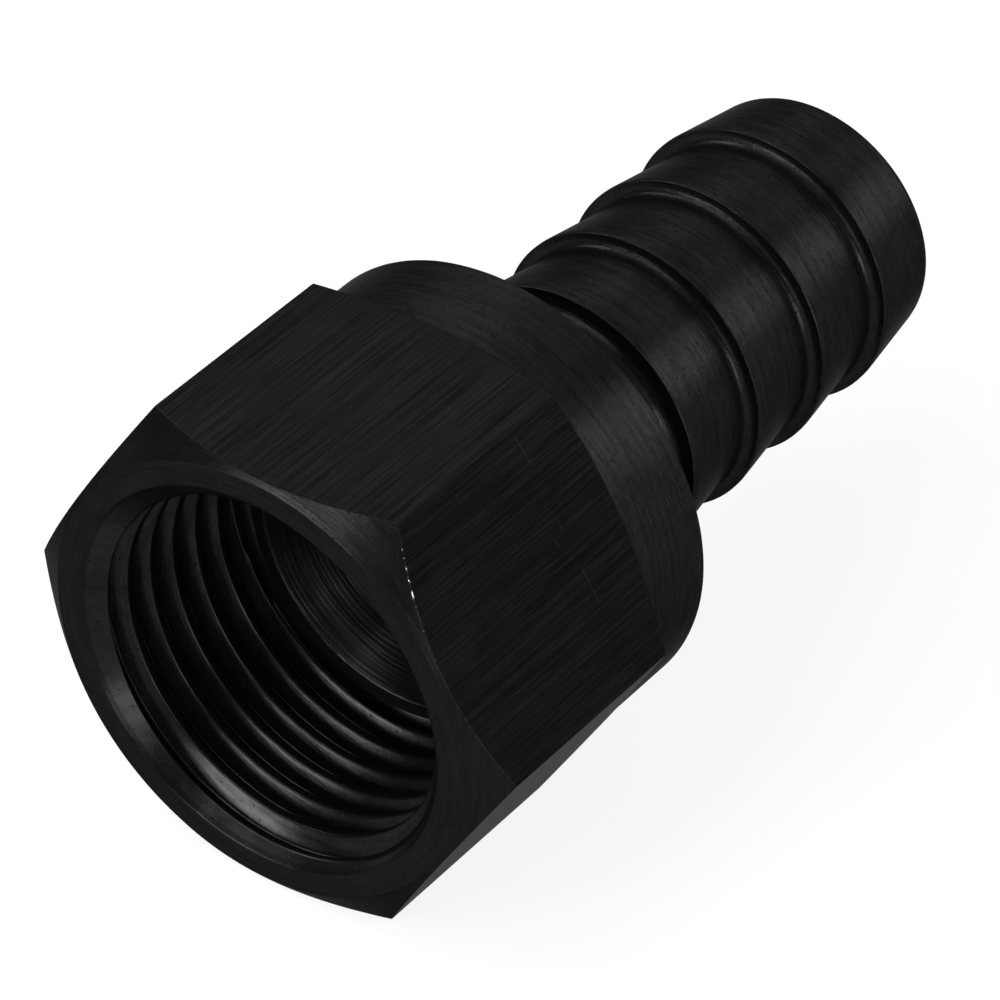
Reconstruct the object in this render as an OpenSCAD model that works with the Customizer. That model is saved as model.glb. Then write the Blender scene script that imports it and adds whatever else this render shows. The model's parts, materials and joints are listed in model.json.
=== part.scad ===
// Swivel hose barb: a tapped hexagon nut that turns freely on a barbed hose tail.
// Both pieces are turned about one line. Their profiles are drawn as radius and distance
// from the nut's mouth. The finished fitting lies on one flat of the hexagon, with its
// axis along Y, the mouth towards -Y and the barbs towards +Y.

/* [Nut outside] */
// Width of the nut across its flats
nut_af = 22.225; // [21.5:0.005:27]
// Length of the hexagon, along the middle of a flat
hex_length = 13.15; // [12.5:0.05:20]
// Length of the round collar behind the hexagon
collar_length = 4.6; // [4:0.05:12]
// How far the collar's surface lies under the flats
collar_inset = 0.04; // [0.02:0.01:0.6]
// How far the edge of the front face lies inside the flats
face_inset = 0.26; // [0.1:0.01:0.6]
// Slope of the chamfer on the front corners, measured from the front face
front_chamfer_angle = 36; // [20:1:45]
// Slope of the chamfer on the rear corners, measured from the front face
rear_chamfer_angle = 24; // [15:1:45]
// Broken edge at the end of the collar
collar_edge = 0.1; // [0.05:0.01:0.4]

/* [Nut inside] */
// Outer diameter of the thread that screws into the nut
thread_d = 19.05; // [18.2:0.05:19.3]
// Distance from one turn of the thread to the next
thread_pitch = 1.5875; // [1:0.0125:2]
// Depth of the tapped length from the mouth
thread_depth = 9.8; // [6:0.1:11]
// How far the groove behind the thread lies outside the thread, on each side
groove_relief = 0.05; // [0:0.01:0.2]
// Width of the floor of that groove
groove_floor = 0.2; // [0.1:0.05:1]
// Slope of the groove's sides and of the thread's flanks, measured from the mouth's face
flank_angle = 30; // [25:0.5:45]
// How far the countersink at the mouth stands outside the thread, on each side
mouth_relief = 0.21; // [0.1:0.01:0.4]
// How far the smooth bore behind the thread stands inside the tapped bore, on each side
seat_bore_step = 0.3; // [0.2:0.01:0.4]
// Length of the cylindrical lip at the rear hole
lip_length = 1.45; // [0.8:0.05:1.6]

/* [Tail head] */
// Gap between the head's rim and the bore around it
head_clearance = 0.25; // [0.1:0.01:0.35]
// Gap between the head's back cone and the nut's shoulder, square to both
seat_gap = 0.15; // [0.05:0.01:0.3]
// Length of the head's cylindrical rim, from its front face to its back cone
head_rim = 5.2; // [2:0.1:5.3]
// Width of the flat ring between the seat and the rim
seat_margin = 0.7; // [0.4:0.05:1]
// Angle between the conical seat and the axis
seat_angle = 37; // [35:0.5:45]

/* [Tail tube] */
// Diameter of the neck between the nut and the first barb
neck_d = 12.4; // [12:0.1:12.6]
// Length of the neck that shows behind the nut
neck_reach = 4.9; // [3:0.1:12]
// Radius of the fillet between the neck and the first barb
neck_fillet = 0.75; // [0.1:0.05:0.75]
// Bore through the tail
tail_bore_d = 10; // [6:0.1:10.6]
// Broken edge at the far end of the bore
bore_edge = 0.3; // [0.1:0.05:0.5]

/* [Barbs] */
// Number of barbs
barb_count = 4; // [2:1:7]
// Diameter at the sharp edge of each barb
barb_d = 14.2; // [14:0.05:14.8]
// Distance from one barb to the next
barb_pitch = 5.1; // [4:0.1:7]
// Length of the narrow cylindrical land at a barb's edge
barb_crest = 0.25; // [0.1:0.05:0.6]
// Diameter where the cone of a barb meets the next step
barb_root_d = 12.8; // [12.2:0.1:13]
// Radius of the fillet where a cone meets the next step
step_fillet = 0.5; // [0.1:0.05:0.5]
// Length of the last barb, out to the end of the tail
last_barb = 4.7; // [3.5:0.1:7]
// Radius that rounds the end of the tail
end_radius = 0.5; // [0.2:0.05:0.8]

/* [Fit between nut and tail] */
// Gap all round a barb as the nut slips over the barbs
slip_clearance = 0.15; // [0.1:0.01:0.2]

/* [Hidden] */
$fn = 96;
// How far a cutting shape runs past the surface that it cuts
cut = 0.5;

nut_length = hex_length + collar_length;
collar_r = nut_af / 2 - collar_inset;
face_r = nut_af / 2 - face_inset;
blank_r = nut_af / sqrt(3) + cut;
front_chamfer_end = (blank_r - face_r) * tan(front_chamfer_angle);
rear_chamfer_start = hex_length - (blank_r - collar_r) * tan(rear_chamfer_angle);

// The depth of a unified thread takes this share of its pitch
thread_depth_share = 0.5413;
tapped_r = thread_d / 2 - thread_depth_share * thread_pitch;
mouth_r = thread_d / 2 + mouth_relief;
mouth_depth = mouth_r - tapped_r;
seat_bore_r = tapped_r - seat_bore_step;
groove_r = thread_d / 2 + groove_relief;
groove_start = thread_depth + (groove_r - tapped_r) * tan(flank_angle);
groove_end = groove_start + groove_floor;
seat_bore_start = groove_end + (groove_r - seat_bore_r) * tan(flank_angle);
rear_hole_r = barb_d / 2 + slip_clearance;
lip_start = nut_length - lip_length;
shoulder_start = lip_start - (seat_bore_r - rear_hole_r);

// The shoulder and the head's back cone both slope at 45 degrees
head_r = seat_bore_r - head_clearance;
neck_r = neck_d / 2;
head_back = shoulder_start + seat_bore_r - head_r - seat_gap * sqrt(2);
head_front = head_back - head_rim;
neck_start = head_back + head_r - neck_r;
seat_r = head_r - seat_margin;
tail_bore_r = tail_bore_d / 2;
seat_end = head_front + (seat_r - tail_bore_r) / tan(seat_angle);

barb_r = barb_d / 2;
barb_root_r = barb_root_d / 2;
barb_slope = (barb_r - barb_root_r) / (barb_pitch - barb_crest);
first_barb = nut_length + neck_reach;
tail_end = first_barb + (barb_count - 1) * barb_pitch + last_barb;

// Radius of a barb's cone at a distance behind its own sharp edge
function cone_r(along) = barb_r - barb_slope * (along - barb_crest);

// Takes a shape drawn round the +Z axis and lays it down on one flat of the hexagon
module laid_on_flat() {
    translate([0, -tail_end / 2, nut_af / 2])
        rotate([-90, 0, 0])
            children();
}

// Outside of the nut as if it were turned from a round bar
module nut_blank() {
    rotate_extrude()
        polygon([
            [0, 0],
            [face_r, 0],
            [blank_r, front_chamfer_end],
            [blank_r, rear_chamfer_start],
            [collar_r, hex_length],
            [collar_r, nut_length - collar_edge],
            [collar_r - collar_edge, nut_length],
            [0, nut_length],
        ]);
}

// Space inside the nut, from the countersunk mouth to the rear hole
module nut_hollow() {
    rotate_extrude()
        polygon([
            [0, -cut],
            [mouth_r + cut, -cut],
            [tapped_r, mouth_depth],
            [tapped_r, thread_depth],
            [groove_r, groove_start],
            [groove_r, groove_end],
            [seat_bore_r, seat_bore_start],
            [seat_bore_r, shoulder_start],
            [rear_hole_r, lip_start],
            [rear_hole_r, nut_length + cut],
            [0, nut_length + cut],
        ]);
}

module swivel_nut() {
    color("#1b1b1c")
        laid_on_flat()
            difference() {
                intersection() {
                    nut_blank();
                    cylinder(r = nut_af / sqrt(3), h = nut_length, $fn = 6);
                }
                nut_hollow();
            }
}

// The first barb's step rises out of the straight neck, and the others out of a cone
function step_place(i) = first_barb + i * barb_pitch;
function foot_r(i) = i == 0 ? neck_r : barb_root_r;
function foot_slope(i) = i == 0 ? 0 : barb_slope;
function foot_fillet(i) = i == 0 ? neck_fillet : step_fillet;

// Middle of the arc that rounds the foot of a barb's step
function fillet_centre(i) =
    let (r = foot_fillet(i))
    [foot_r(i) + foot_slope(i) * r + r / cos(atan(foot_slope(i))), step_place(i) - r];

// Outline of one barb: the uncut fillet at its foot, its edge, its narrow land and its cone
function barb_outline(i) =
    let (
        step = step_place(i),
        length = i < barb_count - 1 ? barb_pitch : last_barb,
        tilt = atan(foot_slope(i)),
        centre = fillet_centre(i)
    )
    [
        centre - foot_fillet(i) * [cos(tilt), sin(tilt)],
        centre,
        [centre[0], step],
        [barb_r, step],
        [barb_r, step + barb_crest],
        if (i == barb_count - 1) [cone_r(length), step + length],
    ];

// Half section of the tail: seat, head, neck, barbs and bore
module tail_section() {
    head_and_neck = [
        [seat_r, head_front],
        [head_r, head_front],
        [head_r, head_back],
        [neck_r, neck_start],
    ];
    barbs = [for (i = [0 : barb_count - 1]) each barb_outline(i)];
    bore = [
        [tail_bore_r, tail_end],
        [tail_bore_r, seat_end],
    ];
    difference() {
        polygon(concat(head_and_neck, barbs, bore));
        for (i = [0 : barb_count - 1])
            translate(fillet_centre(i))
                circle(r = foot_fillet(i));
    }
}

// Rounding of the tail's end, cut from the outside
module end_round_section() {
    r = cone_r(last_barb);
    difference() {
        translate([r - end_radius, tail_end - end_radius])
            square(end_radius + cut);
        translate([r - end_radius, tail_end - end_radius])
            circle(r = end_radius);
    }
}

// Broken edge at the end of the bore
module bore_edge_section() {
    polygon([
        [tail_bore_r - cut, tail_end - bore_edge - cut],
        [tail_bore_r + bore_edge + cut, tail_end + cut],
        [tail_bore_r - cut, tail_end + cut],
    ]);
}

module hose_tail() {
    color("#1d1d1e")
        laid_on_flat()
            rotate_extrude()
                difference() {
                    tail_section();
                    end_round_section();
                    bore_edge_section();
                }
}

swivel_nut();
hose_tail();
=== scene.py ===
# %% [markdown]
# # A black swivel hose barb
# The real fitting is two turned pieces of black anodised aluminium: a hexagon nut with a thread
# inside it, and a barbed tail that the nut turns on. A imported CAD model already fixes where each
# piece is and how big it is. This lesson gives both pieces fine meshes with softened edges and a
# true thread, then a metal finish, light and a camera. The first cell loads the fixed model.

import json
import math

import bmesh
import bpy
import numpy as np
from mathutils import Matrix, Vector


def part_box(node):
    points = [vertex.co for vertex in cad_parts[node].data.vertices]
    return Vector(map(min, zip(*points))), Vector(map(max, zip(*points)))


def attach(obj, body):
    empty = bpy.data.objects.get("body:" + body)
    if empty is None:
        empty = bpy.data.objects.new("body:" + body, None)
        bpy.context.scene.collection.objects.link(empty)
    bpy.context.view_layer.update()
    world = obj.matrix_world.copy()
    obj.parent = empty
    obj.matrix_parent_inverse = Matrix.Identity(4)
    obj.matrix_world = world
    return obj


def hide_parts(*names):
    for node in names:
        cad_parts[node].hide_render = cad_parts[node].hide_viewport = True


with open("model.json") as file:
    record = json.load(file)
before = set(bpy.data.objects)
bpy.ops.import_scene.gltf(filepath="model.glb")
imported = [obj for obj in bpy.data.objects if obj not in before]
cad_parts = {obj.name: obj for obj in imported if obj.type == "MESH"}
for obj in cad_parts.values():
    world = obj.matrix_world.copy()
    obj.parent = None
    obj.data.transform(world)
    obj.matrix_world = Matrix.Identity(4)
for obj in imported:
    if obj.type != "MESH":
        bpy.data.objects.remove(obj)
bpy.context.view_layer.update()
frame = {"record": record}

# %% [markdown]
# ## Sizes
# A turned piece is easiest to think of as a radius at a distance along its axis. All sizes here
# are in millimetres, and every distance is counted from the nut's mouth. What can be measured on
# the fixed model or read from its record is taken from there, so that the meshes match it. The
# rest are the small steps and slopes that a box can't tell.

# %% Measure the fixed model
MM = 0.001

nut_low, nut_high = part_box("swivel_nut")
tail_low, tail_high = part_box("hose_tail")
mounts = {m["name"]: m["dims"] for m in frame["record"]["mounts"]}

axis_z = (nut_low.z + nut_high.z) / 2
mouth_y = nut_low.y
flat_r = (nut_high.z - nut_low.z) / 2 / MM
nut_length = (nut_high.y - mouth_y) / MM
head_front = (tail_low.y - mouth_y) / MM
tail_end = (tail_high.y - mouth_y) / MM
head_r = (tail_high.x - tail_low.x) / 2 / MM
crest_r = mounts["threaded_mouth"]["r_mm"]
barb_r = mounts["hose_barb"]["r_mm"]
print("nut", round(nut_length, 2), "mm long and", round(flat_r * 2, 3), "mm across its flats")
print("tail ends", round(tail_end, 2), "mm from the mouth")

# %% Name the smaller sizes
hex_length = 13.15
collar_r = flat_r - 0.04
face_r = flat_r - 0.26
front_chamfer = math.radians(36)
rear_chamfer = math.radians(24)

root_r = 9.525
thread_pitch = 1.5875
thread_lead_in = 0.3
mouth_r = root_r + 0.21
groove_r = root_r + 0.05
groove_floor = 0.2
thread_depth = 9.8
flank_slope = math.tan(math.radians(30))
seat_bore_r = head_r + 0.25
rear_hole_r = barb_r + 0.15
lip_start = nut_length - 1.45
shoulder_start = lip_start - (seat_bore_r - rear_hole_r)

neck_r = 6.2
tail_bore_r = 5.0
head_rim = 5.2
seat_r = head_r - 0.7
seat_end = head_front + (seat_r - tail_bore_r) / math.tan(math.radians(37))
neck_start = head_front + head_rim + head_r - neck_r
barb_count = 4
barb_pitch = 5.1
barb_crest = 0.25
barb_root_r = 6.4
neck_fillet = 0.75
step_fillet = 0.62
first_barb = nut_length + 4.9
barb_slope = (barb_r - barb_root_r) / (barb_pitch - barb_crest)
print("shoulder at", round(shoulder_start, 2), "mm, first barb at", round(first_barb, 2), "mm")

# %% [markdown]
# ## From a drawn profile to a mesh
# A lathe cuts one profile all the way round. The same can be done in code: every column of the
# mesh is one copy of the profile, at its own angle. A screw modifier could spin a curve too, but
# the nut is not round, and real edges are never quite even. Here each corner of the profile may
# differ from column to column, so the hexagon, its chamfers and small dents in the edges all come
# from the same few lines. Each corner is replaced by a short curve, with a guard row on both
# sides, so that light catches a narrow edge while the faces beside it stay flat.

# %% Uneven edges
def waves(angles, seed, finest=60):
    """A wavy line from -1 to 1 that closes on itself all round the axis."""
    rng = np.random.default_rng(seed)
    line = np.zeros_like(angles)
    for n in range(2, finest):
        line += np.cos(n * angles + rng.uniform(0, 2 * math.pi)) * rng.uniform(0.2, 1) / n ** 0.5
    return line / np.abs(line).max()


def nicks(angles, seed, count, width):
    """Small separate dents from 0 to 1 at random places round the axis."""
    rng = np.random.default_rng(seed)
    line = np.zeros_like(angles)
    for _ in range(count):
        gap = np.angle(np.exp(1j * (angles - rng.uniform(0, 2 * math.pi))))
        line = np.maximum(line, rng.uniform(0.3, 1) * np.exp(-((gap / (width * rng.uniform(0.5, 1.5))) ** 2)))
    return line


all_round = np.linspace(0, 2 * math.pi, 720)
knocked = nicks(all_round, 4, 14, 0.012) > 0.1
print("14 nicks touch", round(100 * float(knocked.mean()), 1), "percent of an edge")

# %% Soften the corners of a profile
# A corner's curve has this many faces, and may use up to this share of the way to its guard row
CURVE_STEPS = 6
CURVE_SHARE = 0.92
# Distance from the end of a curve to the guard row beside it, in mm
GUARD = 0.06
# Two corners together may use up to this share of the way between them
ROOM_SHARE = 0.98


def share_of(room, own, other):
    """How far a corner's guard row may stand from the corner, when the next corner needs room too."""
    return np.minimum(own + GUARD, ROOM_SHARE * room * (own + GUARD) / (own + other + 2 * GUARD))


def soften(corners, setbacks, wears, closed):
    """Curves the corners of a profile, given column by column.

    Gives rows of (radius, distance), the wear of each row, and the row where each corner starts.
    """
    rows = []
    wear = []
    starts = []
    count = len(corners)
    for k, corner in enumerate(corners):
        starts.append(len(rows))
        if not closed and k in (0, count - 1):
            rows.append(corner)
            wear.append(0 * corner[:, 0])
            continue
        to_before = corners[k - 1] - corner
        to_after = corners[(k + 1) % count] - corner
        room_before = np.linalg.norm(to_before, axis=1)
        room_after = np.linalg.norm(to_after, axis=1)
        to_before = to_before / room_before[:, None]
        to_after = to_after / room_after[:, None]
        guard_before = share_of(room_before, setbacks[k], setbacks[k - 1])
        guard_after = share_of(room_after, setbacks[k], setbacks[(k + 1) % count])
        setback = np.minimum(setbacks[k], CURVE_SHARE * np.minimum(guard_before, guard_after))
        rows.append(corner + to_before * guard_before[:, None])
        wear.append(0 * setback)
        for t in np.linspace(0, 1, CURVE_STEPS + 1):
            bend = (1 - t) ** 2 * to_before + t ** 2 * to_after
            rows.append(corner + bend * setback[:, None])
            wear.append(wears[k] + 0 * setback)
        rows.append(corner + to_after * guard_after[:, None])
        wear.append(0 * setback)
    return np.array(rows), np.array(wear), starts


print("a softened corner has", CURVE_STEPS + 3, "rows")

# %% Turn rows of radius and distance into points and faces
def round_axis(rows, angles):
    """Places rows of (radius, distance) round the common axis, in metres."""
    radius = rows[..., 0]
    along = rows[..., 1]
    x = radius * np.sin(angles) * MM
    y = along * MM + mouth_y
    z = radius * np.cos(angles) * MM + axis_z
    return np.stack([x, y, z], -1)


def ring_faces(row_count, column_count, closed):
    """Four-sided faces between neighbouring rows and columns, all round the axis."""
    faces = []
    for row in range(row_count if closed else row_count - 1):
        below = row * column_count
        above = (row + 1) % row_count * column_count
        for column in range(column_count):
            after = (column + 1) % column_count
            faces.append((below + column, below + after, above + after, above + column))
    return faces


print("3 rows and 4 columns make", len(ring_faces(3, 4, closed=False)), "faces")

# %% Make a closed mesh object
# Points closer than this are one point, in metres
SAME_POINT = 2e-7


def mesh_piece(name, points, faces, wear, finish, finishes):
    """Makes a mesh object with smooth shading, a wear value at each point and a finish on each face."""
    mesh = bpy.data.meshes.new(name)
    mesh.from_pydata([tuple(p) for p in points], [], faces)
    mesh.attributes.new("wear", "FLOAT", "POINT").data.foreach_set("value", np.asarray(wear, np.float32))
    mesh.polygons.foreach_set("material_index", np.asarray(finish, np.int32))
    work = bmesh.new()
    work.from_mesh(mesh)
    bmesh.ops.remove_doubles(work, verts=work.verts, dist=SAME_POINT)
    bmesh.ops.dissolve_degenerate(work, edges=work.edges, dist=SAME_POINT / 2)
    bmesh.ops.recalc_face_normals(work, faces=work.faces)
    open_edges = sum(1 for e in work.edges if len(e.link_faces) != 2)
    volume = work.calc_volume(signed=True) / MM ** 3
    work.to_mesh(mesh)
    work.free()
    mesh.shade_smooth()
    piece = bpy.data.objects.new(name, mesh)
    bpy.context.scene.collection.objects.link(piece)
    for material in finishes:
        mesh.materials.append(material)
    even = piece.modifiers.new("even_shading", "WEIGHTED_NORMAL")
    even.keep_sharp = True
    print(name, len(mesh.polygons), "faces,", open_edges, "open edges,", round(volume, 1), "mm3")
    return piece


# %% [markdown]
# ## Shader maths
# A finish is worked out from the place of each point: how far along the axis it is, how far from
# it and at what angle. Written as separate nodes such sums are hard to read, so one small class
# stands for a socket, and ordinary operators add the Math nodes. Everything else, such as a noise
# or a bump, comes from one method that takes the node's type, its settings and its sockets.

# %% The class that wraps a socket
class Signal:
    """A value, vector, colour or shader on its way through a node tree."""

    def __init__(self, tree, socket=None):
        self.tree = tree
        self.socket = socket

    def node(self, kind, settings=None, sockets=None, out=0):
        """Adds a node, sets its settings, then fills its sockets with values or other signals."""
        made = self.tree.nodes.new(kind)
        for name, value in (settings or {}).items():
            setattr(made, name, value)
        for name, value in (sockets or {}).items():
            if isinstance(value, Signal):
                self.tree.links.new(value.socket, made.inputs[name])
            else:
                made.inputs[name].default_value = value
        return Signal(self.tree, made.outputs[out] if len(made.outputs) else None)

    def maths(self, operation, *operands):
        return self.node("ShaderNodeMath", {"operation": operation}, dict(enumerate(operands)))

    def sine(self):
        return self.maths("SINE", self)

    def size(self):
        return self.maths("ABSOLUTE", self)

    def at_least(self, other):
        return self.maths("MAXIMUM", self, other)

    def __add__(self, other):
        return self.maths("ADD", self, other)

    def __radd__(self, other):
        return self.maths("ADD", other, self)

    def __sub__(self, other):
        return self.maths("SUBTRACT", self, other)

    def __rsub__(self, other):
        return self.maths("SUBTRACT", other, self)

    def __mul__(self, other):
        return self.maths("MULTIPLY", self, other)

    def __rmul__(self, other):
        return self.maths("MULTIPLY", other, self)

    def __truediv__(self, other):
        return self.maths("DIVIDE", self, other)

    def __pow__(self, other):
        return self.maths("POWER", self, other)

    def fade(self, low, high):
        """0 at or below low, 1 at or above high, and smooth between them."""
        settings = {"interpolation_type": "SMOOTHSTEP"}
        sockets = {"Value": self, "From Min": low, "From Max": high}
        return self.node("ShaderNodeMapRange", settings, sockets)

    def vector(self, x, y, z):
        return self.node("ShaderNodeCombineXYZ", {}, {"X": x, "Y": y, "Z": z})

    def noise(self, place, detail=3.0, roughness=0.6):
        """Cloudy noise round 0.5, one lump for each unit of the place."""
        sockets = {"Vector": place, "Scale": 1.0, "Detail": detail, "Roughness": roughness}
        return self.node("ShaderNodeTexNoise", {"noise_dimensions": "3D"}, sockets)

    def mix(self, low, high):
        """Blends two colours, with this signal as the share of the second."""
        settings = {"data_type": "RGBA"}
        return self.node("ShaderNodeMix", settings, {"Factor": self, "A": low, "B": high}, "Result")


print("signals are ready for sums")

# %% Where a point is, in millimetres round the axis
class Place:
    """The place of a surface point on the fitting: across the axis, along it, and its radius."""

    def __init__(self, start):
        point = start.node("ShaderNodeTexCoord", {}, {}, "Object")
        self.x = start.node("ShaderNodeSeparateXYZ", {}, {"Vector": point}, "X") / MM
        self.y = start.node("ShaderNodeSeparateXYZ", {}, {"Vector": point}, "Y") / MM
        self.z = (start.node("ShaderNodeSeparateXYZ", {}, {"Vector": point}, "Z") - axis_z) / MM
        self.radius = (self.x * self.x + self.z * self.z) ** 0.5
        self.side = self.x / self.radius
        self.up = self.z / self.radius


print("a place gives x, y, z, radius, side and up")

# %% [markdown]
# ## Black anodised metal
# Anodising keeps every mark of the tool under a thin dark skin. One dark metal shader could stand
# for it, but a metal turns white where it is seen at a slant, and the real skin stays black there.
# So a dull black shader is mixed with a metal one that shows by a fifth: the black gives the skin,
# and the metal gives the gloss. Roughness and relief follow the tool: rings round the axis on the
# turned faces, straight lines along it on the flats. Where an edge was knocked, the skin is gone
# and bright metal shows. The meshes carry a wear value along their edges for that, and the mix
# then moves over to the metal. What is turned, tapped and brushed differs a little in gloss and
# tone, so the same recipe is used five times with its own numbers. The faced front of the nut and
# its chamfer take a darker copy of the turned finish: painted shade that holds down the bright
# floor they mirror.

# %% Colours of the finish
skin_black = (0.003, 0.003, 0.003, 1)
bare_metal = (0.5, 0.5, 0.51, 1)
# Share of the metal shader where the skin is whole
METAL_SHOWS = 0.2
# Share of the broad clouds in the tone, beside the marks of the tool
CLOUD_SHARE = 0.12
# How much the tone, the clouds and bare metal move the roughness
ROUGHER_BY_TONE = 0.16
ROUGHER_BY_CLOUD = 0.1
SMOOTHER_WHERE_BARE = 0.06
# How far grit breaks up the worn edges
GRIT = 1.6


def grey(level):
    """A neutral grey, very slightly cool."""
    return (level, level, level * 1.02, 1)


print("the metal shows by", METAL_SHOWS, "and bare metal is", bare_metal[:3])

# %% A metal from the marks of a tool
def metal(name, marks, relief, roughness, darkest, lightest):
    """Black metal. marks(start, place) gives a height, a tone and how far the skin is scraped off."""
    material = bpy.data.materials.new(name)
    material.use_nodes = True
    tree = material.node_tree
    tree.nodes.clear()
    start = Signal(tree)
    place = Place(start)
    height, tone, scraped = marks(start, place)
    cloud = start.noise(start.vector(place.x * 0.5, place.y * 0.5, place.z * 0.5), 4.0)
    worn = start.node("ShaderNodeAttribute", {"attribute_name": "wear"}, {}, "Fac")
    grit = start.noise(start.vector(place.x * 3, place.y * 3, place.z * 3), 4.0, 0.7)
    bare = (worn + (grit - 0.5) * GRIT).fade(0.95, 1.15).at_least(scraped)
    shade = (tone * (1 - CLOUD_SHARE) + cloud * CLOUD_SHARE).fade(0.3, 0.7)
    tinted = shade.mix(grey(darkest / METAL_SHOWS), grey(lightest / METAL_SHOWS))
    colour = bare.mix(tinted, bare_metal)
    rough = roughness + (tone - 0.5) * ROUGHER_BY_TONE + (cloud - 0.5) * ROUGHER_BY_CLOUD
    rough = rough - bare * SMOOTHER_WHERE_BARE
    bump_sockets = {"Strength": 1.0, "Distance": relief * MM, "Height": height}
    bump = start.node("ShaderNodeBump", {}, bump_sockets, "Normal")
    shine = start.node(
        "ShaderNodeBsdfPrincipled",
        {},
        {
            "Base Color": colour,
            "Metallic": 1.0,
            "Roughness": rough,
            "Specular Tint": (0.42, 0.42, 0.42, 1),
            "Normal": bump,
        },
    )
    skin = start.node(
        "ShaderNodeBsdfPrincipled",
        {},
        {"Base Color": skin_black, "Metallic": 0.0, "Roughness": 0.4, "Specular IOR Level": 0.0},
    )
    shown = METAL_SHOWS + bare * (1 - METAL_SHOWS)
    surface = start.node("ShaderNodeMixShader", {}, {0: shown, 1: skin, 2: shine})
    start.node("ShaderNodeOutputMaterial", {}, {"Surface": surface})
    print(name, "has", len(tree.nodes), "nodes")
    return material


print("a tone of 0.01 takes metal of", [round(part, 3) for part in grey(0.01 / METAL_SHOWS)[:3]])

# %% Rings on the turned faces
def turned_marks(start, place):
    """Rings round the axis, fine and uneven, that change slowly round the piece."""
    path = place.y + place.radius
    fine = start.noise(start.vector(path * 7, place.side * 2.4, place.up * 2.4), 3.0, 0.75)
    broad = start.noise(start.vector(path * 1.8, place.side * 2, place.up * 2), 2.0)
    pits = start.noise(start.vector(place.x * 6, place.y * 6, place.z * 6), 2.0, 0.5).fade(0.66, 0.74)
    blotch = start.noise(start.vector(place.x * 2.6, place.y * 2.6, place.z * 2.6), 4.0, 0.7)
    return fine + blotch * 0.5 - pits * 0.6, fine * 0.5 + broad * 0.2 + blotch * 0.3 - pits * 0.3, 0.0


# Rings on the seat for each millimetre along the axis
SEAT_RINGS_PER_MM = 5.5


def seat_marks(start, place):
    """Even rings, as a fast feed leaves them on the seat."""
    wander = start.noise(start.vector(place.y * 2, place.side * 2, place.up * 2), 2.0)
    rings = (place.y * (SEAT_RINGS_PER_MM * 2 * math.pi) + wander * 9).sine()
    fine = start.noise(start.vector(place.y * 9, place.side, place.up), 2.0, 0.7)
    return rings * 0.14 + fine, fine, 0.0


print("seat rings stand", round(1 / SEAT_RINGS_PER_MM, 3), "mm apart")

# %% Lines and scratches on the flats
# Scratches on the flat at the right of the view. Each end is a place across the flat and a
# distance from the mouth, in mm
SCRATCHES = [
    ((-6.0, 9.4), (-4.6, 9.6)),
    ((-1.9, 9.75), (-1.2, 9.7)),
    ((-1.2, 9.05), (-0.7, 9.2)),
    ((0.6, 9.9), (2.5, 10.0)),
]
SCRATCH_HALF_WIDTH = 0.032
# How far the skin is scraped off in a scratch, where 1 is bare metal
SCRATCH_DEPTH = 0.08


def scratch(place, begin, end):
    """1 along a straight scratch on the right-hand flat, 0 elsewhere."""
    across = place.x * 0.5 - place.z * math.sin(math.radians(60)) - begin[0]
    along = place.y - mouth_y / MM - begin[1]
    length = math.dist(begin, end)
    step_across = (end[0] - begin[0]) / length
    step_along = (end[1] - begin[1]) / length
    past = across * step_across + along * step_along
    beside = (across * step_along - along * step_across).size()
    outside = (past - length / 2).size()
    narrow = 1 - beside.fade(SCRATCH_HALF_WIDTH * 0.6, SCRATCH_HALF_WIDTH)
    short = 1 - outside.fade(length / 2 - 0.1, length / 2)
    line = narrow * short
    on_flat = (place.x * math.sin(math.radians(60)) + place.z * 0.5).fade(flat_r - 0.1, flat_r - 0.05)
    return line * on_flat


def brushed_marks(start, place):
    """Straight lines along the axis, as a belt leaves them on a flat, and a few scratches across them."""
    fine = start.noise(start.vector(place.x * 9, place.y * 0.12, place.z * 9), 2.0, 0.8)
    broad = start.noise(start.vector(place.x * 2.4, place.y * 0.05, place.z * 2.4), 2.0)
    scratches = scratch(place, *SCRATCHES[0])
    for begin, end in SCRATCHES[1:]:
        scratches = scratches + scratch(place, begin, end)
    return fine, fine * 0.8 + broad * 0.2, scratches * SCRATCH_DEPTH


print(len(SCRATCHES), "scratches,", SCRATCH_HALF_WIDTH * 2, "mm wide")

# %% The five finishes
# The numbers are the relief in mm, the roughness, and the darkest and the lightest tone
turned_metal = metal("turned_black_metal", turned_marks, 0.02, 0.27, 0.0035, 0.0135)
# The front face and its chamfer: the turned finish made darker, as painted shade against the floor they
# mirror
faced_metal_painted_shade = metal("faced_black_metal_painted_shade", turned_marks, 0.012, 0.24, 0.0025, 0.0098)
thread_metal = metal("threaded_black_metal", turned_marks, 0.01, 0.24, 0.004, 0.018)
seat_metal = metal("seat_black_metal", seat_marks, 0.006, 0.22, 0.002, 0.013)
brushed_metal = metal("brushed_black_metal", brushed_marks, 0.016, 0.22, 0.0015, 0.008)

# %% [markdown]
# ## The swivel nut
# The outside of the nut is a hexagon bar that was turned at both ends. At each angle the hexagon
# has its own radius, and the two cones of the chamfers meet it where their radius is the same, so
# the curved edges of the chamfers come out by themselves. The columns crowd towards the six
# corners, where the shape changes fastest.

# %% Columns and the radius of the hexagon
COLUMNS_PER_SIDE = 64
CORNER_CROWDING = 0.9
corner_round = 0.07


def hexagon_angles():
    """Angles all round, from the middle of one flat to the next, crowded at the corners."""
    t = np.arange(COLUMNS_PER_SIDE) / COLUMNS_PER_SIDE * 2 - 1
    side = 30 * (t + CORNER_CROWDING * np.sin(math.pi * t) / math.pi)
    return np.radians(np.concatenate([60 * k + side for k in range(6)]))


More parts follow.
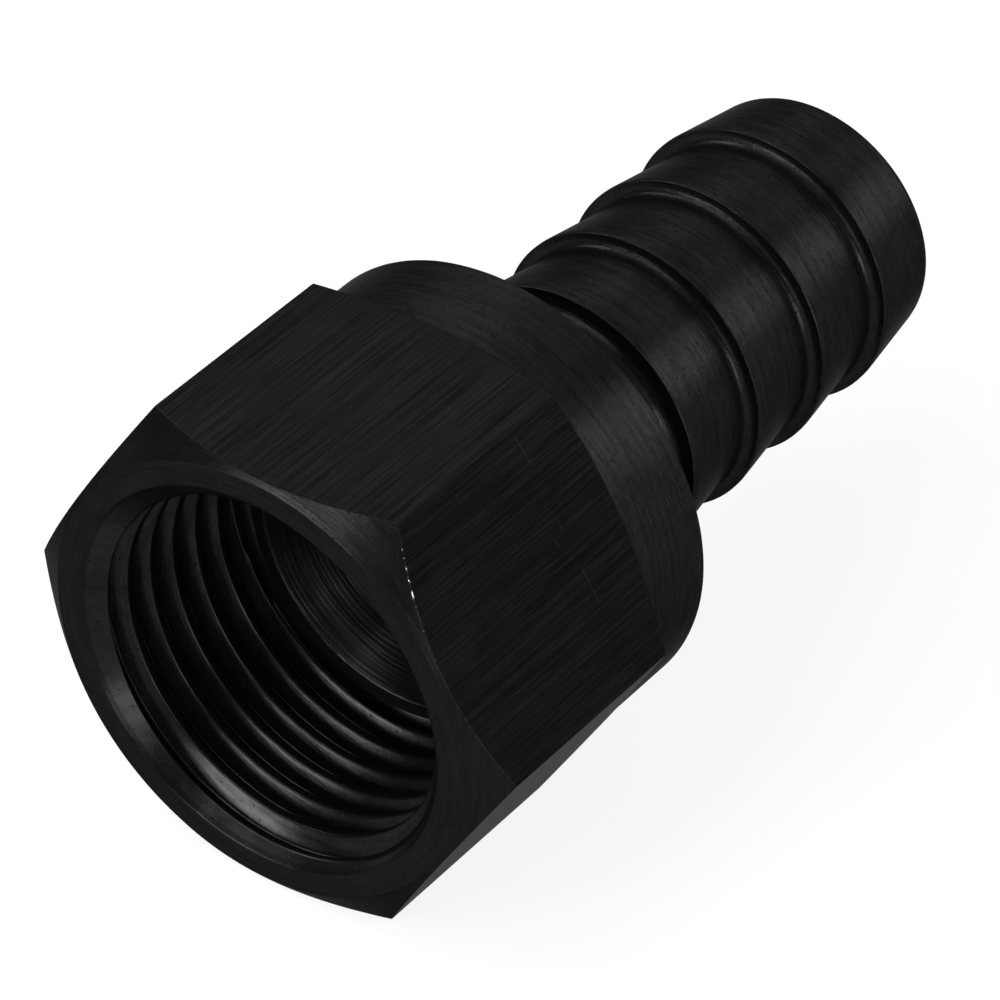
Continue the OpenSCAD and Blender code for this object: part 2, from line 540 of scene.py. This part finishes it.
def hexagon_radius(angles):
    """Radius of a hexagon with slightly rounded corners and a flat at angle 0."""
    from_corner = np.abs((np.degrees(angles) % 60) - 30)
    from_corner = np.radians(from_corner)
    middle = (flat_r - corner_round) / math.cos(math.radians(30))
    reach = math.atan2(corner_round * 0.5, middle + corner_round * math.cos(math.radians(30)))
    inside = np.clip(corner_round ** 2 - (middle * np.sin(from_corner)) ** 2, 0, None)
    arc = middle * np.cos(from_corner) + np.sqrt(inside)
    flat = flat_r / np.cos(np.radians(30) - from_corner)
    return np.where(from_corner < reach, arc, flat)


nut_angles = hexagon_angles()
hex_r = hexagon_radius(nut_angles)
print(len(nut_angles), "columns, corner radius", round(hex_r.max(), 3), "mm")

# %% Where the cones, the thread and the bores meet
groove_start = thread_depth + (groove_r - crest_r) * flank_slope
groove_end = groove_start + groove_floor
seat_bore_start = groove_end + (groove_r - seat_bore_r) * flank_slope
front_edge = (hex_r - face_r) * math.tan(front_chamfer)
rear_edge = hex_length - (hex_r - collar_r) * math.tan(rear_chamfer)
thread_start = mouth_r - root_r
print("chamfer reaches", round(front_edge.max(), 2), "mm back at the corners")

# %% How uneven the nut's edges are
# The burr stands along the chamfer of the flat on the right of the view, which lies 60 degrees
# round from the top
burr_angle = np.degrees(nut_angles) % 360
burr_peak = np.exp(-(((burr_angle - 40) / 14) ** 6))
burr_rest = np.exp(-(((burr_angle - 60) / 30) ** 8))
burr = burr_peak + 0.3 * burr_rest
collar_softening = 0.1 + 0.03 * waves(nut_angles, 1)
rear_softening = 0.05 + 0.02 * waves(nut_angles, 2)
front_softening = 0.035 + 0.015 * waves(nut_angles, 3) + 0.04 * nicks(nut_angles, 4, 14, 0.012)
face_softening = 0.06 + 0.02 * waves(nut_angles, 5)
mouth_softening = 0.07 + 0.02 * waves(nut_angles, 6) + 0.04 * nicks(nut_angles, 7, 10, 0.02)
print("front edge is softened by up to", round(front_softening.max(), 3), "mm")

# %% Outside of the nut and the bores behind the thread
def columns_of(profile, angles):
    """Gives a profile's corners, column by column, with their setbacks and wears."""
    corners = []
    for radius, distance, _, _ in profile:
        corners.append(np.stack([radius + 0 * angles, distance + 0 * angles], -1))
    setbacks = [setback for _, _, setback, _ in profile]
    wears = [wear for _, _, _, wear in profile]
    return corners, setbacks, wears


# Each corner has a radius, a distance from the mouth, how far it is softened, and its wear
nut_profile = [
    (seat_bore_r, seat_bore_start, 0, 0),
    (seat_bore_r, shoulder_start, 0.05, 0),
    (rear_hole_r, lip_start, 0.1, 0),
    (rear_hole_r, nut_length, 0.15, 0.3),
    (collar_r, nut_length, collar_softening, 0.5),
    (collar_r, hex_length, 0.5, 0),
    (hex_r, rear_edge, rear_softening, 0.45),
    (hex_r, front_edge, front_softening, 0.3 + 0.46 * burr),
    (face_r, 0, face_softening, 0.45),
    (mouth_r, 0, mouth_softening, 0.5),
    (root_r, thread_start, 0, 0),
]
REAR_EDGE = 6
FRONT_EDGE = 7
nut_rows, nut_wear, nut_starts = soften(*columns_of(nut_profile, nut_angles), closed=False)
print(len(nut_rows), "rows outside and behind the thread")

# %% [markdown]
# ## The thread
# A thread is one groove that climbs by its pitch in each turn. If the rows of the mesh ran level
# round the bore, every edge of the groove would cross them at a slant and come out ragged. So the
# rows climb with the groove, and are held back at both ends of the threaded length. The groove's
# own shape then repeats row for row, and the countersink at the mouth and the relief groove behind
# the thread simply win wherever they cut deeper. Four more rows follow the edges of the relief
# groove and the last ridge before it, so that these stay sharp.

# %% Shape of one turn
# Place across one pitch, from the middle of the groove, and the share of the full depth there
TURN = [(0, 1), (0.055, 1), (0.09, 0.93), (0.2, 0.61), (0.34, 0.14), (0.375, 0.03), (0.405, 0), (0.5, 0)]
half_places = [place for place, _ in TURN]
half_depths = [depth for _, depth in TURN]
turn_places = [-place for place in half_places[:0:-1]] + half_places[:-1]
ROWS_PER_TURN = len(turn_places)


def thread_radius(along, angles):
    """Radius of the threaded wall, with the countersink and the groove behind the thread cut in."""
    turn = (along - thread_lead_in) / thread_pitch - angles / (2 * math.pi)
    across = np.abs(turn - np.round(turn))
    groove = crest_r + (root_r - crest_r) * np.interp(across, half_places, half_depths)
    countersink = mouth_r - along
    front_side = crest_r + (along - thread_depth) / flank_slope
    rear_side = seat_bore_r + (seat_bore_start - along) / flank_slope
    relief = np.minimum(np.minimum(front_side, rear_side), groove_r)
    wall = np.where(along > groove_start, relief, np.maximum(groove, relief))
    return np.maximum(wall, countersink)


print(ROWS_PER_TURN, "rows in each turn")

# %% Rows that climb with the thread
RIDGE_SAMPLES = 200
turns_needed = math.ceil((seat_bore_start - thread_start) / thread_pitch) + 2
first_turn = math.floor(thread_start / thread_pitch) - 1
row_starts = np.array([
    (first_turn + turn + place) * thread_pitch + thread_lead_in
    for turn in range(turns_needed + 1)
    for place in turn_places
])


def ridge_place(angle):
    """Where the last crest, or the ridge that is left of it, stands before the relief groove."""
    places = np.linspace(thread_depth, groove_start, RIDGE_SAMPLES)
    return places[np.argmin(thread_radius(places, angle))]


thread_angles = np.sort(nut_angles % (2 * math.pi))
climb = thread_angles[:, None] / (2 * math.pi) * thread_pitch
climbing_rows = np.clip(row_starts[None, :] + climb, thread_start, seat_bore_start)
edge_rows = np.array([[thread_depth, ridge_place(a), groove_start, groove_end] for a in thread_angles])
along = np.sort(np.concatenate([climbing_rows, edge_rows], 1), 1)
thread_rows = np.stack([thread_radius(along, thread_angles[:, None]), along], -1)
thread_points = round_axis(thread_rows, thread_angles[:, None])
print(thread_points.shape[1], "rows in", thread_points.shape[0], "columns")

# %% Faces and finishes outside the nut
TURNED, BRUSHED, THREADED, FACED = range(4)
nut_points = round_axis(nut_rows, nut_angles).reshape(-1, 3)
nut_faces = ring_faces(len(nut_rows), len(nut_angles), closed=False)
# A finish changes over in the middle of a corner's curve
middle_of_corner = CURVE_STEPS // 2 + 1
brushed_start = (nut_starts[REAR_EDGE] + middle_of_corner) * len(nut_angles)
faced_start = (nut_starts[FRONT_EDGE] + middle_of_corner) * len(nut_angles)
nut_finish = np.full(len(nut_faces), TURNED)
nut_finish[brushed_start:faced_start] = BRUSHED
# The faced rows take the darker copy of the turned finish, which is painted shade
nut_finish[faced_start:] = FACED
print(faced_start - brushed_start, "brushed faces and", len(nut_faces) - faced_start, "faced ones")

# %% Join the thread to the rest of the nut
offset = len(nut_points)
climbing = thread_points.shape[1]
thread_faces = []
for column in range(len(thread_angles)):
    last = column == len(thread_angles) - 1
    after = 0 if last else column + 1
    shift = ROWS_PER_TURN if last else 0
    for row in range(climbing - 1):
        low = offset + column * climbing + row
        high = offset + after * climbing + min(row + shift, climbing - 1)
        high_next = offset + after * climbing + min(row + 1 + shift, climbing - 1)
        face = (low, low + 1, high_next, high)
        thread_faces.append(face if high != high_next else face[:3])
swivel_nut = mesh_piece(
    "swivel_nut_finished",
    np.concatenate([nut_points, thread_points.reshape(-1, 3)]),
    nut_faces + thread_faces,
    np.concatenate([nut_wear.reshape(-1), np.zeros(thread_points.shape[0] * climbing)]),
    np.concatenate([nut_finish, np.full(len(thread_faces), THREADED)]),
    [turned_metal, brushed_metal, thread_metal, faced_metal_painted_shade],
)
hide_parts("swivel_nut")
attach(swivel_nut, "nut")

# %% [markdown]
# ## The hose tail
# The tail is round all the way, so its profile is drawn once. Four barbs repeat along it: a sharp
# edge that faces the nut, a narrow land, and a long shallow cone that the hose slides over. The
# foot of each step is a wide curve left by the round nose of the tool, and its edges are nearly
# sharp, with a few small knocks.

# %% Profile of the tail
TAIL_COLUMNS = 300
tail_angles = np.arange(TAIL_COLUMNS) / TAIL_COLUMNS * 2 * math.pi


def cone_r(along):
    """Radius of a barb's cone at a distance behind its own edge."""
    return barb_r - barb_slope * (along - barb_crest)


# Each corner has a radius, a distance from the mouth, how far it is softened, and its wear
tail_profile = [
    (seat_r, head_front, 0.08, 0.2),
    (head_r, head_front, 0.1, 0.4),
    (head_r, head_front + head_rim, 0.06, 0.3),
    (neck_r, neck_start, 0.2, 0),
]
for barb in range(barb_count):
    step = first_barb + barb * barb_pitch
    if barb == 0:
        tail_profile.append((neck_r, step, neck_fillet, 0))
    else:
        tail_profile.append((barb_root_r, step, step_fillet, 0))
    tail_profile.append((barb_r, step, 0.05, 0.62))
    tail_profile.append((barb_r, step + barb_crest, 0.1, 0))
last_barb = tail_end - step
tail_profile.append((cone_r(last_barb), tail_end, 0.5, 0.2))
tail_profile.append((tail_bore_r, tail_end, 0.3, 0.2))
tail_profile.append((tail_bore_r, seat_end, 0.3, 0))
print(len(tail_profile), "corners in the tail's section")

# %% Mesh of the tail
tail_corners, tail_setbacks, tail_wears = columns_of(tail_profile, tail_angles)
# Sharp edges are uneven, and the wide fillets are not
for k, setback in enumerate(tail_setbacks):
    if setback < step_fillet / 2:
        unevenness = 0.25 * waves(tail_angles, 20 + k) + 0.9 * nicks(tail_angles, 60 + k, 7, 0.03)
        tail_setbacks[k] = setback * (1 + unevenness)
tail_rows, tail_wear, tail_starts = soften(tail_corners, tail_setbacks, tail_wears, closed=True)
tail_faces = ring_faces(len(tail_rows), TAIL_COLUMNS, closed=True)
SEAT = 1
tail_finish = np.full(len(tail_faces), TURNED)
tail_finish[tail_starts[-1] * TAIL_COLUMNS:] = SEAT
hose_tail = mesh_piece(
    "hose_tail_finished",
    round_axis(tail_rows, tail_angles).reshape(-1, 3),
    tail_faces,
    tail_wear.reshape(-1),
    tail_finish,
    [turned_metal, seat_metal],
)
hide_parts("hose_tail")
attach(hose_tail, "tail")

# %% [markdown]
# ## Camera
# The camera has the photograph's viewing angle: a little over a third of a right angle round from
# the mouth's side, looking down on the fitting through a long lens. A wide lens close by would
# frame it too, but it would splay the hexagon. Azimuth 0 would look along the axis into the mouth.

# %% Set the camera
camera_azimuth = math.radians(35.34)
camera_elevation = math.radians(38.76)
camera_roll = math.radians(1.57)
camera_distance = 286 * MM
camera_aim = Vector((-0.66, -2.63, 8.98)) * MM
lens_mm = 229.4

level_right = Vector((math.cos(camera_azimuth), math.sin(camera_azimuth), 0))
back = Vector((
    math.sin(camera_azimuth) * math.cos(camera_elevation),
    -math.cos(camera_azimuth) * math.cos(camera_elevation),
    math.sin(camera_elevation),
))
level_up = back.cross(level_right)
right = level_right * math.cos(camera_roll) + level_up * math.sin(camera_roll)
up = back.cross(right)
camera = bpy.data.objects.new("camera", bpy.data.cameras.new("camera"))
turned_to_fitting = Matrix((right, up, back)).transposed().to_4x4()
camera.matrix_world = Matrix.Translation(camera_aim + back * camera_distance) @ turned_to_fitting
camera.data.lens = lens_mm
camera.data.sensor_width = 36
camera.data.clip_start = 0.01
camera.data.clip_end = 20
bpy.context.scene.collection.objects.link(camera)
bpy.context.scene.camera = camera
print("camera at", [round(c / MM, 1) for c in camera.location], "mm")

# %% [markdown]
# ## Floor, background and light
# A dark metal shows little of its own colour: what makes it look like metal is what it mirrors.
# One big soft light would leave it flat and grey. So the fitting lies on a white sheet in a pale
# room, with soft lights all round it and dark cards between them. Each strong band of light or
# dark on the turned faces is the mirror image of one of these. The cards are for the reflections
# alone, so the camera doesn't see them and they throw no shadow.

# %% Floor
FLOOR_WIDTH = 3.0
# Share of plain white in what the camera sees of the floor. The rest is paper with the shadow
WHITE_SHARE = 0.85


def rectangle(name, width, height):
    """A flat mesh of this width and height, centred on its origin."""
    mesh = bpy.data.meshes.new(name)
    corners = [(-1, -1), (1, -1), (1, 1), (-1, 1)]
    mesh.from_pydata([(x * width / 2, y * height / 2, 0) for x, y in corners], [], [(0, 1, 2, 3)])
    return mesh


def seen_directly(start):
    """1 for rays from the camera, and for those mirrored or passed on by metal or glass."""
    camera_ray = start.node("ShaderNodeLightPath", {}, {}, "Is Camera Ray")
    glossy_ray = start.node("ShaderNodeLightPath", {}, {}, "Is Glossy Ray")
    through_ray = start.node("ShaderNodeLightPath", {}, {}, "Is Transmission Ray")
    return start.maths("MINIMUM", camera_ray + glossy_ray + through_ray, 1.0)


def white_floor():
    """White paper: most of what the camera sees is plain white, and the rest is shaded by the object."""
    material = bpy.data.materials.new("white_floor")
    material.use_nodes = True
    tree = material.node_tree
    tree.nodes.clear()
    start = Signal(tree)
    paper = start.node("ShaderNodeBsdfDiffuse", {}, {"Color": (0.9, 0.9, 0.9, 1)})
    glow = start.node("ShaderNodeEmission", {}, {"Color": (1, 1, 1, 1), "Strength": 1.0})
    shown = seen_directly(start) * WHITE_SHARE
    surface = start.node("ShaderNodeMixShader", {}, {0: shown, 1: paper, 2: glow})
    start.node("ShaderNodeOutputMaterial", {}, {"Surface": surface})
    return material


floor = bpy.data.objects.new("floor", rectangle("floor", FLOOR_WIDTH, FLOOR_WIDTH))
floor.data.materials.append(white_floor())
bpy.context.scene.collection.objects.link(floor)
print("floor is", FLOOR_WIDTH, "m wide")

# %% World
world = bpy.data.worlds.new("studio")
bpy.context.scene.world = world
world.use_nodes = True
world.node_tree.nodes.clear()
sky = Signal(world.node_tree)
# The room is white to look at, and in mirrors, but its walls give the fitting less light than that
WALL_LIGHT = 0.6
brightness = WALL_LIGHT + seen_directly(sky) * (1 - WALL_LIGHT)
background = sky.node("ShaderNodeBackground", {}, {"Color": (1, 1, 1, 1), "Strength": brightness})
sky.node("ShaderNodeOutputWorld", {}, {"Surface": background})
print("walls look white and light the fitting at", WALL_LIGHT)

# %% Soft lights
def aim_at_fitting(azimuth, elevation, distance, lean=0):
    """Where a light or card stands as seen from the fitting, and facing it. Azimuth 0 is the mouth's side."""
    a = math.radians(azimuth)
    e = math.radians(elevation)
    out = Vector((math.sin(a) * math.cos(e), -math.cos(a) * math.cos(e), math.sin(e)))
    place = Matrix.Translation(out * distance + Vector((0, 0, axis_z)))
    facing = out.to_track_quat("Z", "Y").to_matrix().to_4x4()
    return place @ facing @ Matrix.Rotation(math.radians(lean), 4, "Z")


def soft_light(name, azimuth, elevation, width, height, brightness, distance=0.6):
    """A rectangular light that looks this bright in a mirror, where the white floor is 1."""
    light = bpy.data.lights.new(name, "AREA")
    light.shape = "RECTANGLE"
    light.size = width
    light.size_y = height
    light.energy = brightness * math.pi * width * height
    lamp = bpy.data.objects.new(name, light)
    lamp.matrix_world = aim_at_fitting(azimuth, elevation, distance)
    bpy.context.scene.collection.objects.link(lamp)


# The numbers are azimuth and elevation in degrees, width and height in metres, and brightness.
# Above and behind: the top flat, the collar and the barbs
soft_light("overhead_light", 220, 38, 0.42, 0.3, 1.3)
soft_light("back_light", 160, 16, 0.42, 0.3, 2.0)
soft_light("right_light", 99, 8, 0.28, 0.22, 10.0)
soft_light("rear_right_light", 139, 25, 0.16, 0.3, 3.6)
# In front and to the left: the thread, the countersink, the seat and the feet of the barbs
soft_light("front_right_light", 35, 15, 0.22, 0.3, 6.0)
soft_light("front_left_light", -18, 15, 0.3, 0.22, 15.0)
soft_light("front_left_high_light", -26, 57, 0.42, 0.28, 4.0)
soft_light("left_light", -80, 33, 0.14, 0.26, 14.0)
print(len(bpy.data.lights), "soft lights")

# %% Dark cards
card_black = bpy.data.materials.new("card_black")
card_black.use_nodes = True
card_black.node_tree.nodes["Principled BSDF"].inputs["Base Color"].default_value = (0.02, 0.02, 0.02, 1)
card_black.node_tree.nodes["Principled BSDF"].inputs["Roughness"].default_value = 1


def dark_card(name, azimuth, elevation, width, height, lean=0, distance=0.5):
    """A black card that only shows in reflections."""
    card = bpy.data.objects.new(name, rectangle(name, width, height))
    card.matrix_world = aim_at_fitting(azimuth, elevation, distance, lean)
    card.visible_camera = False
    card.visible_shadow = False
    card.data.materials.append(card_black)
    bpy.context.scene.collection.objects.link(card)


# The numbers are azimuth and elevation in degrees, width and height in metres, and the lean
dark_card("card_right", 65, 38, 0.38, 0.6)
dark_card("card_behind_right", 152, 40, 0.1, 0.4, 48)
dark_card("card_far_right", 128, 2, 0.12, 0.12)
dark_card("card_front_low", 15, 12, 0.26, 0.3)
dark_card("card_front_high", 10, 32, 0.09, 0.22)
dark_card("card_left", -62, 12, 0.52, 0.28)

# %% Plain view transform
bpy.context.scene.view_settings.view_transform = "Standard"
